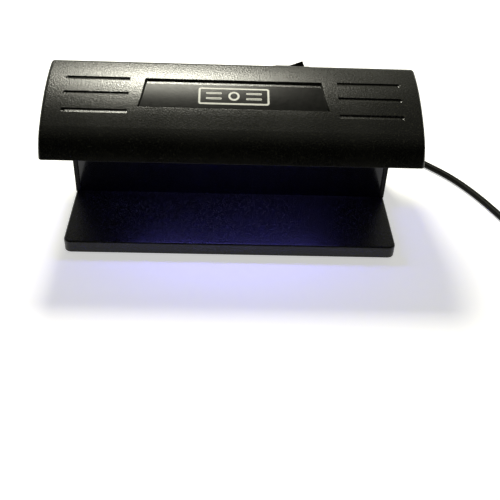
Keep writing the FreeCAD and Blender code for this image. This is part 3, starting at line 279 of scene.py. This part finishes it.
class Graph:
    """A short way to build a node material."""

    def __init__(self, name):
        self.material = bpy.data.materials.new(name)
        self.material.use_nodes = True
        self.tree = self.material.node_tree
        self.shader = self.tree.nodes["Principled BSDF"]
        self.place = self.add("ShaderNodeTexCoord").outputs["Object"]

    def add(self, kind, inputs=None, **settings):
        return add_node(self.tree, kind, inputs, **settings)

    def noise(self, scale, detail=3.0, roughness=0.5, place=None):
        return self.add("ShaderNodeTexNoise", {
            "Vector": place or self.place,
            "Scale": scale,
            "Detail": detail,
            "Roughness": roughness,
        }).outputs["Fac"]

    def cells(self, scale):
        node = self.add("ShaderNodeTexVoronoi", {"Vector": self.place, "Scale": scale})
        return node.outputs["Distance"]

    def stretch(self, x, y, z):
        """The object's own coordinates, scaled along each axis."""
        node = self.add("ShaderNodeMapping", {"Vector": self.place, "Scale": (x, y, z)})
        return node.outputs["Vector"]

    def fit(self, value, low, high, to_low, to_high):
        """The value, moved from one range to another and kept inside it."""
        return self.add("ShaderNodeMapRange", {
            "Value": value,
            "From Min": low,
            "From Max": high,
            "To Min": to_low,
            "To Max": to_high,
        }).outputs["Result"]

    def mix(self, factor, first, second):
        """A colour between two colours. Either may be a socket or three numbers."""
        def colour(value):
            return value if isinstance(value, bpy.types.NodeSocket) else (*value, 1.0)

        inputs = {MIX_FACTOR: factor, MIX_FIRST: colour(first), MIX_SECOND: colour(second)}
        return self.add("ShaderNodeMix", inputs, data_type="RGBA").outputs[MIX_RESULT]

    def maths(self, operation, first, second):
        node = self.add("ShaderNodeMath", {0: first, 1: second}, operation=operation)
        return node.outputs[0]

    def bump(self, height, distance, strength=1.0, rounded=0.0):
        """Relief of a given height, on edges that look rounded by a given radius."""
        inputs = {"Height": height, "Distance": distance, "Strength": strength}
        if rounded:
            inputs["Normal"] = self.add(
                "ShaderNodeBevel", {"Radius": rounded}, samples=4
            ).outputs["Normal"]
        self.link("Normal", self.add("ShaderNodeBump", inputs).outputs["Normal"])

    def link(self, socket, value):
        self.tree.links.new(value, self.shader.inputs[socket])

    def fixed(self, **values):
        """Shader values that are the same all over the surface."""
        for key, value in values.items():
            self.shader.inputs[key.replace("_", " ")].default_value = value


def grained_plastic(
    name, dark, light, roughness, grain=1500.0, depth=2.6e-5, specks=0.5, tint=None
):
    """Moulded plastic: a fine spark-eroded grain, slow changes in sheen, and a few light specks."""
    g = Graph(name)
    slow = g.noise(28.0, 2.0)
    colour = g.mix(g.fit(slow, 0.35, 0.65, 0.0, 1.0), dark, light)
    speck = g.fit(g.noise(1900.0, 1.0), 0.70, 0.80, 0.0, specks)
    g.link("Base Color", g.mix(speck, colour, tint or tuple(c * 9 + 0.02 for c in light)))
    slow_sheen = g.fit(slow, 0.3, 0.7, -0.035, 0.035)
    sheen = g.maths("ADD", slow_sheen, g.fit(g.noise(900.0), 0.3, 0.7, -0.04, 0.04))
    g.link("Roughness", g.maths("ADD", sheen, roughness))
    texture = g.maths("ADD", g.cells(grain), g.noise(grain * 1.3, 4.0, 0.65))
    g.bump(texture, depth, 1.0, rounded=0.0006)
    g.fixed(Specular_IOR_Level=0.38)
    return g.material


def hood_plastic(name="satin_black_plastic", shine=0.38):
    """Satin black plastic with a coarse spark-eroded grain that sparkles in the light."""
    g = Graph(name)
    slow = g.noise(28.0, 2.0)
    grit = g.noise(1200.0, 2.0, 0.6)
    dark, light = (0.0030, 0.0031, 0.0022), (0.0048, 0.0049, 0.0034)
    colour = g.mix(g.fit(slow, 0.35, 0.65, 0.0, 1.0), dark, light)
    g.link("Base Color", g.mix(g.fit(grit, 0.58, 0.72, 0.0, 0.8), colour, (0.055, 0.055, 0.040)))
    slow_sheen = g.fit(slow, 0.3, 0.7, 0.27, 0.33)
    g.link("Roughness", g.maths("ADD", slow_sheen, g.fit(grit, 0.32, 0.68, 0.08, -0.08)))
    texture = g.maths("ADD", g.cells(1250.0), g.noise(1700.0, 4.0, 0.65))
    g.bump(texture, 5.6e-5, 1.0, rounded=0.00025)
    g.fixed(Specular_IOR_Level=shine)
    return g.material


def label_film():
    """Black film: darker and smoother than the plastic round it, with a faint mottle."""
    g = Graph("label_film")
    mottle = g.noise(420.0, 4.0, 0.6)
    dark, light = (0.0026, 0.0027, 0.0022), (0.0050, 0.0050, 0.0042)
    g.link("Base Color", g.mix(g.fit(mottle, 0.35, 0.65, 0.0, 1.0), dark, light))
    g.link("Roughness", g.fit(mottle, 0.3, 0.7, 0.28, 0.34))
    g.bump(g.noise(1100.0, 3.0, 0.6), 3.0e-5, 1.0)
    g.fixed(Specular_IOR_Level=0.08)
    return g.material


def smooth_plastic(name, colour, roughness, coat=0.0, wear=0.05):
    """Plastic moulded in a polished tool, with faint rub marks."""
    g = Graph(name)
    rub = g.noise(140.0, 6.0, 0.7, g.stretch(1.0, 0.25, 0.25))
    rubbed = tuple(c * 1.35 + 0.002 for c in colour)
    g.link("Base Color", g.mix(g.fit(rub, 0.45, 0.75, 0.0, 1.0), colour, rubbed))
    g.link("Roughness", g.fit(rub, 0.35, 0.75, roughness, roughness + wear))
    g.bump(g.noise(1500.0, 2.0), 6e-6, 0.4, rounded=0.0003)
    g.fixed(Coat_Weight=coat, Coat_Roughness=0.05)
    return g.material


def metal(name, colour, roughness, lines=(1.0, 1.0, 1.0), scale=1500.0):
    """Sheet or turned metal with fine lines and small stains."""
    g = Graph(name)
    streak = g.noise(scale, 3.0, 0.6, g.stretch(*lines))
    stain = g.noise(90.0, 4.0)
    dull = tuple(c * 0.72 for c in colour)
    g.link("Base Color", g.mix(g.fit(stain, 0.45, 0.75, 0.0, 0.6), colour, dull))
    g.link("Roughness", g.fit(streak, 0.3, 0.7, roughness, roughness + 0.14))
    g.bump(streak, 8e-6, 0.4, rounded=0.0001)
    g.fixed(Metallic=1.0)
    return g.material


LAMP_GLOW = 12.0


def lamp_glass():
    """The lit ultraviolet tube: deep violet glass, brighter along its middle than at its ends."""
    g = Graph("lit_uv_glass")
    x = g.add("ShaderNodeSeparateXYZ", {"Vector": g.place}).outputs["X"]
    ends = g.fit(g.maths("ABSOLUTE", x, 0.0), 0.046, 0.060, 1.0, 0.25)
    cloud = g.fit(g.noise(60.0, 2.0), 0.3, 0.7, 0.92, 1.05)
    g.link("Emission Strength", g.maths("MULTIPLY", g.maths("MULTIPLY", ends, cloud), LAMP_GLOW))
    g.link("Base Color", g.mix(cloud, (0.10, 0.06, 0.30), (0.16, 0.10, 0.42)))
    g.fixed(Emission_Color=(0.22, 0.20, 1.0, 1.0), Roughness=0.12)
    return g.material


def board_laminate():
    """Paper laminate with fibres along the board."""
    g = Graph("board_laminate")
    fibre = g.noise(700.0, 3.0, 0.6, g.stretch(1.0, 3.0, 1.0))
    dark, light = (0.30, 0.20, 0.08), (0.42, 0.30, 0.13)
    g.link("Base Color", g.mix(g.fit(fibre, 0.35, 0.65, 0.0, 1.0), dark, light))
    g.link("Roughness", g.fit(fibre, 0.3, 0.7, 0.42, 0.6))
    g.bump(fibre, 2e-5, 0.3)
    return g.material


def cord_sheath():
    """Soft PVC: a dull sheen with a faint mottle."""
    g = Graph("cord_pvc")
    mottle = g.noise(420.0, 4.0, 0.6)
    dark, light = (0.0030, 0.0032, 0.0026), (0.0070, 0.0070, 0.0052)
    g.link("Base Color", g.mix(g.fit(mottle, 0.35, 0.7, 0.0, 1.0), dark, light))
    g.link("Roughness", g.fit(mottle, 0.3, 0.7, 0.40, 0.52))
    g.bump(mottle, 3e-5, 0.4)
    g.fixed(Specular_IOR_Level=0.05)
    return g.material


def copper_winding():
    """Fine enamelled wire, wound in turns that lie level."""
    g = Graph("copper_winding")
    waves = {"Vector": g.place, "Scale": 700.0, "Distortion": 0.4}
    turns = g.add("ShaderNodeTexWave", waves, bands_direction="Z").outputs["Fac"]
    g.link("Base Color", g.mix(turns, (0.16, 0.04, 0.015), (0.62, 0.22, 0.09)))
    g.link("Roughness", g.fit(turns, 0.0, 1.0, 0.45, 0.28))
    g.bump(turns, 1.2e-4, 0.8)
    g.fixed(Metallic=0.8)
    return g.material


def printed_ink():
    """Off-white ink with small worn spots."""
    g = Graph("printed_ink")
    spots = g.noise(5200.0, 2.0)
    fresh, worn = (0.72, 0.72, 0.68), (0.42, 0.42, 0.40)
    g.link("Base Color", g.mix(g.fit(spots, 0.3, 0.45, 1.0, 0.0), fresh, worn))
    g.link("Roughness", g.fit(spots, 0.3, 0.7, 0.5, 0.7))
    return g.material


MATERIALS = {
    "black_plastic": hood_plastic(),
    "gloss_panel": smooth_plastic(
        "gloss_black_panel", (0.0035, 0.0036, 0.0045), 0.10, coat=0.4, wear=0.08
    ),
    "rocker_plastic": smooth_plastic("switch_plastic", (0.010, 0.010, 0.011), 0.20, wear=0.12),
    "clear_glass": lamp_glass(),
    "cap_metal": metal("tube_cap_aluminium", (0.75, 0.75, 0.76), 0.28, (1.0, 6.0, 6.0)),
    "brass": metal("brass_contact", (0.72, 0.52, 0.24), 0.22, (1.0, 1.0, 5.0)),
    "white_plastic": grained_plastic(
        "white_moulding", (0.66, 0.66, 0.62), (0.74, 0.74, 0.70), 0.42,
        depth=1.5e-5, specks=0.2, tint=(0.4, 0.4, 0.38),
    ),
    "reflector_sheet": metal("bright_reflector", (0.86, 0.87, 0.89), 0.12, (0.1, 4.0, 4.0), 900.0),
    "rubber": grained_plastic("foot_rubber", (0.012, 0.012, 0.012), (0.020, 0.020, 0.020), 0.75),
    "steel": metal("zinc_screw", (0.60, 0.61, 0.63), 0.26, (3.0, 3.0, 1.0)),
    "board": board_laminate(),
    "ferrite": grained_plastic("ferrite", (0.035, 0.035, 0.038), (0.055, 0.055, 0.058), 0.62),
    "copper": copper_winding(),
    "component_black": smooth_plastic("component_epoxy", (0.018, 0.018, 0.020), 0.40),
    "component_red": smooth_plastic("component_lacquer", (0.42, 0.08, 0.03), 0.22),
    "resistor": smooth_plastic("resistor_lacquer", (0.55, 0.42, 0.25), 0.35),
    "wire_sleeve": smooth_plastic("wire_pvc", (0.60, 0.60, 0.57), 0.40),
    "cord_sheath": cord_sheath(),
    "plug_plastic": grained_plastic(
        "plug_plastic", (0.010, 0.010, 0.011), (0.015, 0.015, 0.016), 0.36, 1900.0, specks=0.25
    ),
    "fuse_red": smooth_plastic("fuse_carrier_plastic", (0.38, 0.03, 0.02), 0.35),
}


def dress_nodes():
    """Gives each CAD node the material of its slot in the record."""
    for entry in frame["record"]["subparts"]:
        node = frame["nodes"][entry["node"]]
        material = MATERIALS[entry["material_slot"]]
        node.data.materials.clear()
        node.data.materials.append(material)


dress_nodes()
# The column is of the hood's plastic, but shines less.
frame["nodes"]["column_housing"].data.materials[0] = hood_plastic("dull_black_plastic", 0.15)
cord.data.materials.append(MATERIALS["cord_sheath"])
for piece in cord_pieces:
    piece.data.materials.append(MATERIALS["component_black"])


# ---------------------------------------------------------------- film and printed marks

# Millimetres. The roof arc of the hood in Y and Z, the recess floor below it and the film there.
ROOF_CENTRE = (13.02, -8.13)
ROOF_RADIUS = 95.0
RECESS_DEPTH = 1.1
FILM_THICKNESS = 0.15
FILM_REAR_Y = -9.3
FILM_FRONT_Y = -24.9
FILM_REAR_HALF = 44.9
FILM_FRONT_HALF = 47.4
FILM_CORNER = 1.2
FILM_UNDERSIDE = 0.02
FILM_COLUMNS = 16
FILM_MIDDLE_ROWS = 24
# Rows of points near each end of the film, close together where its corners bend.
FILM_END_ROWS = (0.0, 0.1, 0.35, 0.7, FILM_CORNER)
INK_THICKNESS = 0.03


def on_recess(x, y, lift):
    """A point above the recess floor, by its lift along the roof's radius."""
    radius = ROOF_RADIUS - RECESS_DEPTH + lift
    z = ROOF_CENTRE[1] + math.sqrt(radius ** 2 - (y - ROOF_CENTRE[0]) ** 2)
    return Vector((x, y, z)) * MM


def band_faces(outline, inner):
    """Points and faces of a flat band between two closed outlines of the same length."""
    n = len(outline)
    faces = [(i, (i + 1) % n, n + (i + 1) % n, n + i) for i in range(n)]
    return outline + inner, faces


LONGEST_SIDE = 1.2
SIDE_STEPS = 8


def divided(outline):
    """The outline with its long upright sides divided, so that they follow the curved film."""
    points = []
    for (x, y), (next_x, next_y) in zip(outline, outline[1:] + outline[:1]):
        steps = SIDE_STEPS if abs(next_y - y) > LONGEST_SIDE else 1
        for k in range(steps):
            points.append((x + (next_x - x) * k / steps, y + (next_y - y) * k / steps))
    return points


SLUG_ROUNDING = 0.8
SLUG_CLOSING = 0.04
SLUG_STEPS = 2


def slug(cx, cy, half_x, half_y):
    """A filled bar, as a band that closes on a thin line inside it."""
    radius = min(half_x, half_y) * SLUG_ROUNDING
    thin = radius * SLUG_CLOSING
    shrink = radius - thin
    outer = rounded_box(cx, cy, half_x, half_y, radius, SLUG_STEPS)
    inner = rounded_box(cx, cy, half_x - shrink, half_y - shrink, thin, SLUG_STEPS)
    return outer, inner


def film_half_width(y):
    """Half the film's width at a given Y, with its four corners rounded off."""
    along = (y - FILM_FRONT_Y) / (FILM_REAR_Y - FILM_FRONT_Y)
    half = FILM_FRONT_HALF + (FILM_REAR_HALF - FILM_FRONT_HALF) * along
    near = min(y - FILM_FRONT_Y, FILM_REAR_Y - y)
    if near >= FILM_CORNER:
        return half
    return half - FILM_CORNER + math.sqrt(FILM_CORNER ** 2 - (FILM_CORNER - near) ** 2)


def film_rows():
    """The Y of each row of points across the film, from its front edge to its rear edge."""
    length = FILM_REAR_Y - FILM_FRONT_Y
    step = (length - 2 * FILM_CORNER) / FILM_MIDDLE_ROWS
    middle = [FILM_CORNER + step * k for k in range(1, FILM_MIDDLE_ROWS)]
    rear = [length - v for v in reversed(FILM_END_ROWS)]
    return [FILM_FRONT_Y + v for v in (*FILM_END_ROWS, *middle, *rear)]


def film_rim(rows):
    """The numbers of the points round the edge of a sheet of so many rows, in order."""
    wide = FILM_COLUMNS + 1
    rim = list(range(wide))
    rim += [r * wide + FILM_COLUMNS for r in range(1, rows)]
    rim += [(rows - 1) * wide + k for k in range(FILM_COLUMNS - 1, -1, -1)]
    rim += [r * wide for r in range(rows - 2, 0, -1)]
    return rim


def add_label_film():
    """A thin curved film that fills the floor of the recess."""
    rows = film_rows()
    points, faces = [], []
    for lift in (FILM_THICKNESS, FILM_UNDERSIDE):
        for y in rows:
            half = film_half_width(y)
            for k in range(FILM_COLUMNS + 1):
                points.append(on_recess(half * (2 * k / FILM_COLUMNS - 1), y, lift))
    wide = FILM_COLUMNS + 1
    layer = len(rows) * wide
    for r in range(len(rows) - 1):
        for k in range(FILM_COLUMNS):
            a = r * wide + k
            faces.append((a, a + 1, a + 1 + wide, a + wide))
            faces.append((layer + a, layer + a + wide, layer + a + 1 + wide, layer + a + 1))
    rim = film_rim(len(rows))
    for a, b in zip(rim, rim[1:] + rim[:1]):
        faces.append((a, layer + a, layer + b, b))
    film = add_mesh("label_film", points, faces, "detector")
    film.data.materials.append(label_film())


def circle(cx, cy, radius):
    """A round outline, as a square whose corners almost meet."""
    return rounded_box(cx, cy, radius, radius, radius - 0.01, CORNER_STEPS)


def add_printed(name, bands, place, body):
    """One piece of ink: flat bands between pairs of outlines, put in place on a surface."""
    points, faces = [], []
    for outline, inner in bands:
        flat, quads = band_faces(outline, inner)
        start = len(points)
        points.extend(place(x, y) for x, y in flat)
        faces.extend(tuple(start + i for i in quad) for quad in quads)
    mark = add_mesh(name, points, faces, body)
    mark.data.materials.append(printed_ink())


# The banknote sign: the middle of the frame, its half size and line, its ring and its four bars.
SIGN_Y = -16.8
SIGN_HALF = (18.0, 5.4)
SIGN_LINE = 1.0
SIGN_CORNERS = (1.3, 0.5)
SIGN_RING = (2.9, 1.8)
SIGN_BAR_PLACE = (10.2, 1.7)
SIGN_BAR_HALF = (4.0, 0.6)


def add_note_sign():
    """A plain sign of a banknote, printed on the film."""
    def place(x, y):
        return on_recess(x, y, FILM_THICKNESS + INK_THICKNESS)

    half_x, half_y = SIGN_HALF
    edge = rounded_box(0, SIGN_Y, half_x, half_y, SIGN_CORNERS[0])
    inside = rounded_box(0, SIGN_Y, half_x - SIGN_LINE, half_y - SIGN_LINE, SIGN_CORNERS[1])
    bands = [
        (divided(edge), divided(inside)),
        tuple(circle(0, SIGN_Y, radius) for radius in SIGN_RING),
    ]
    across, along = SIGN_BAR_PLACE
    for side in (-1, 1):
        for row in (-1, 1):
            bands.append(slug(side * across, SIGN_Y + along * row, *SIGN_BAR_HALF))
    add_printed("banknote_sign", bands, place, "detector")


add_label_film()
add_note_sign()

# The rocker: the slope of the hood it sits on, its pivot and its tilt at rest. In its own flat
# coordinates, in millimetres, its top is lowest in the middle and rises evenly to both ends.
SLOPE = math.radians(30.0)
JOINTS = {joint["name"]: joint for joint in frame["record"]["behaviour"]["joints"]}
PIVOT = Vector(JOINTS["rocker_press"]["pos_m"])
TILT = math.radians(-10.0)
ROCKER_TOP = 4.0
ROCKER_RISE = 1.3 / 7.5
MARK_LIFT = 0.05
MARK_X = 4.6
MARK_RING = (1.5, 1.1)
MARK_BAR_HALF = (0.22, 1.7)


def on_rocker(x, y):
    """A point just above the rocker's dished top."""
    top = ROCKER_TOP + abs(x) * ROCKER_RISE + MARK_LIFT
    tilted = Matrix.Rotation(TILT, 3, "Y") @ Vector((x, y, top))
    return PIVOT + (Matrix.Rotation(-SLOPE, 3, "X") @ tilted) * MM


def add_rocker_marks():
    """The usual open ring and bar that mark the two ends of a mains rocker."""
    ring = tuple(circle(-MARK_X, 0, radius) for radius in MARK_RING)
    add_printed("rocker_marks", [ring, slug(MARK_X, 0, *MARK_BAR_HALF)], on_rocker, "rocker")


add_rocker_marks()


# ---------------------------------------------------------------- floor and light

# Places and sizes in metres.
FLOOR_SIDE = 1.6
FLOOR_FRONT = -0.34
FLOOR_REAR = 1.6
FLOOR_DROP = 0.0001
FLOOR_GLOW = 0.55

KEY_PLACE = Vector((-0.065, 0.29, 0.47))
KEY_AIM = Vector((-0.03, 0.0, 0.08))
KEY_SIZE = (0.15, 0.13)
KEY_WATTS = 4.0
KEY_COLOUR = (1.0, 0.98, 0.84)

WHITE = (1.0, 1.0, 1.0, 1.0)
SKY_COLOUR = (1.0, 1.0, 0.86, 1.0)
SKY_LEAN = (0.0, 0.35, 0.94)


def add_floor():
    """A pale table that glows a little, so that it stays bright in the object's shadow."""
    g = Graph("floor_paint")
    cloud = g.noise(6.0, 3.0)
    dark, light = (0.80, 0.80, 0.80), (0.84, 0.84, 0.84)
    g.link("Base Color", g.mix(g.fit(cloud, 0.3, 0.7, 0.0, 1.0), dark, light))
    g.fixed(Roughness=0.75, Emission_Color=WHITE, Emission_Strength=FLOOR_GLOW)
    corners = [
        (-FLOOR_SIDE, FLOOR_FRONT, 0), (FLOOR_SIDE, FLOOR_FRONT, 0),
        (FLOOR_SIDE, FLOOR_REAR, 0), (-FLOOR_SIDE, FLOOR_REAR, 0),
    ]
    mesh = bpy.data.meshes.new("floor")
    mesh.from_pydata(corners, [], [(0, 1, 2, 3)])
    mesh.materials.append(g.material)
    floor = bpy.data.objects.new("floor", mesh)
    floor.location.z = -FLOOR_DROP
    scene.collection.objects.link(floor)


def add_key_light():
    """One soft light, high behind the object and a little to its left."""
    data = bpy.data.lights.new("key", "AREA")
    data.shape = "RECTANGLE"
    data.size, data.size_y = KEY_SIZE
    data.energy = KEY_WATTS
    data.color = KEY_COLOUR
    light = bpy.data.objects.new("key", data)
    light.location = KEY_PLACE
    light.rotation_euler = (KEY_AIM - KEY_PLACE).to_track_quat("-Z", "Y").to_euler()
    scene.collection.objects.link(light)


def add_world():
    """A dim studio: a soft overhead glow that leans back, a bright low rear, a pale backdrop."""
    world = bpy.data.worlds.new("studio")
    world.use_nodes = True
    tree = world.node_tree
    tree.nodes.clear()

    def new(kind, inputs=None, **settings):
        return add_node(tree, kind, inputs, **settings)

    def fade(value, low, high, to_low, to_high):
        return new("ShaderNodeMapRange", {
            "Value": value,
            "From Min": low,
            "From Max": high,
            "To Min": to_low,
            "To Max": to_high,
        }, interpolation_type="SMOOTHSTEP").outputs["Result"]

    place = new("ShaderNodeTexCoord").outputs["Generated"]
    parts = new("ShaderNodeSeparateXYZ", {"Vector": place}).outputs
    lean = new("ShaderNodeVectorMath", {0: place, 1: SKY_LEAN}, operation="DOT_PRODUCT")
    overhead = fade(lean.outputs["Value"], 0.45, 1.0, 0.008, 0.20)
    back = fade(parts["Y"], 0.0, 0.55, 0.0, 0.55)
    low = fade(parts["Z"], 0.62, 0.30, 0.0, 1.0)
    rear = new("ShaderNodeMath", {0: back, 1: low}, operation="MULTIPLY").outputs["Value"]
    level = new("ShaderNodeMath", {0: overhead, 1: rear}, operation="ADD").outputs["Value"]
    sky = new("ShaderNodeBackground", {"Color": SKY_COLOUR, "Strength": level})
    backdrop = new("ShaderNodeBackground", {"Color": WHITE})
    seen = new("ShaderNodeLightPath").outputs["Is Camera Ray"]
    mix = new("ShaderNodeMixShader", {
        0: seen, 1: sky.outputs["Background"], 2: backdrop.outputs["Background"],
    })
    new("ShaderNodeOutputWorld", {"Surface": mix.outputs["Shader"]})
    scene.world = world


add_floor()
add_world()
add_key_light()
scene.view_settings.view_transform = "Standard"

bpy.context.view_layer.update()
